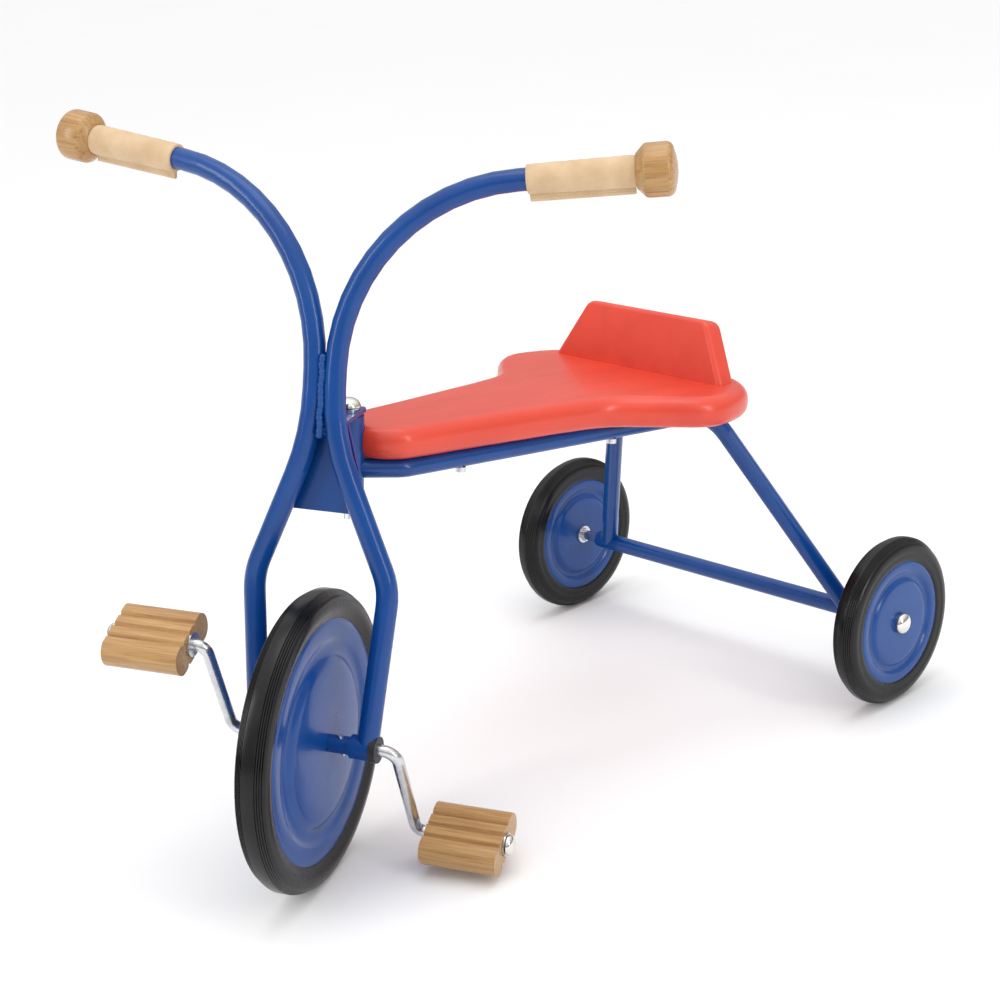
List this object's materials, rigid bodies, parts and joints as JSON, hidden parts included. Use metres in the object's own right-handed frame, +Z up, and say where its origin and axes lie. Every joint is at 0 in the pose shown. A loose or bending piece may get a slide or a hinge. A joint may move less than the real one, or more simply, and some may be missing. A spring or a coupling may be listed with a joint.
{
  "type": "children's tricycle",
  "caption": "Direct-drive pedal tricycle for a small child, with a bent steel tube frame, solid tyres, a wooden seat board with a low backrest, wooden pedals and bar-end knobs.",
  "frame": {"origin": "On the floor, midway along the rear axle and straight below it.", "axes": "+Z up, the front of the tricycle towards -Y, +X towards the rider's left, +Y towards the rear."},
  "size_m": [0.4829, 0.7657, 0.6147],
  "materials": {
    "blue_paint": "glossy powder coat",
    "zinc_steel": "zinc plated",
    "bright_metal": "bright nickel",
    "red_wood": "red stained and lacquered",
    "clear_wood": "clear lacquered",
    "grip_cover": "undyed, hand stitched",
    "black_plastic": "moulded",
    "black_rubber": "moulded, ribbed"
  },
  "bodies": {
    "frame": {"head_tube": "blue_paint", "head_bush_lower": "black_plastic", "head_bush_upper": "black_plastic", "main_tube_left": "blue_paint", "main_tube_right": "blue_paint", "rear_axle_tube": "blue_paint", "rear_axle_rod": "zinc_steel", "rear_axle_caps": "bright_metal", "rear_washers": "zinc_steel", "seat_board": "red_wood", "backrest": "red_wood", "seat_screws": "zinc_steel", "seat_inserts": "zinc_steel", "backrest_screws": "zinc_steel"},
    "fork": {"fork_tube_left": "blue_paint", "fork_tube_right": "blue_paint", "foot_tube_left": "blue_paint", "foot_tube_right": "blue_paint", "axle_bush_left": "black_plastic", "axle_bush_right": "black_plastic", "steering_bracket": "blue_paint", "steering_bolt": "bright_metal", "steering_washers": "zinc_steel", "steering_nut": "zinc_steel", "grip_left": "grip_cover", "grip_right": "grip_cover", "knob_left": "clear_wood", "knob_right": "clear_wood"},
    "front_wheel": {"front_tyre": "black_rubber", "front_disc_left": "blue_paint", "front_disc_right": "blue_paint", "front_hub_sleeve": "zinc_steel", "crank_axle": "zinc_steel", "drive_pin": "zinc_steel", "pedal_washers": "zinc_steel", "pedal_caps": "bright_metal"},
    "pedal_left": {"pedal_left": "clear_wood"},
    "pedal_right": {"pedal_right": "clear_wood"},
    "rear_wheel_left": {"rear_tyre_left": "black_rubber", "rear_disc_outer_left": "blue_paint", "rear_disc_inner_left": "blue_paint", "rear_hub_tube_left": "zinc_steel", "rear_bushes_left": "black_plastic"},
    "rear_wheel_right": {"rear_tyre_right": "black_rubber", "rear_disc_outer_right": "blue_paint", "rear_disc_inner_right": "blue_paint", "rear_hub_tube_right": "zinc_steel", "rear_bushes_right": "black_plastic"}
  },
  "joints": [
    {"name": "steering", "type": "hinge", "parent": "frame", "child": "fork", "pos_m": [0, -0.49749, 0.11736], "axis": [0, 0.1219, 0.9925], "range_deg": [-70.8, 19.2]},
    {"name": "front_wheel_spin", "type": "hinge", "parent": "fork", "child": "front_wheel", "pos_m": [0.03129, -0.56174, 0.12525], "axis": [0.9003, 0.432, -0.053], "continuous": true},
    {"name": "pedal_left_spin", "type": "hinge", "parent": "front_wheel", "child": "pedal_left", "pos_m": [0.11616, -0.47747, 0.02748], "axis": [0.9003, 0.432, -0.053], "continuous": true},
    {"name": "pedal_right_spin", "type": "hinge", "parent": "front_wheel", "child": "pedal_right", "pos_m": [-0.05178, -0.64515, 0.22292], "axis": [0.9003, 0.432, -0.053], "continuous": true},
    {"name": "rear_wheel_left_spin", "type": "hinge", "parent": "frame", "child": "rear_wheel_left", "pos_m": [0.2015, 0, 0.08], "axis": [1, 0, 0], "continuous": true},
    {"name": "rear_wheel_right_spin", "type": "hinge", "parent": "frame", "child": "rear_wheel_right", "pos_m": [-0.2015, 0, 0.08], "axis": [1, 0, 0], "continuous": true}
  ]
}
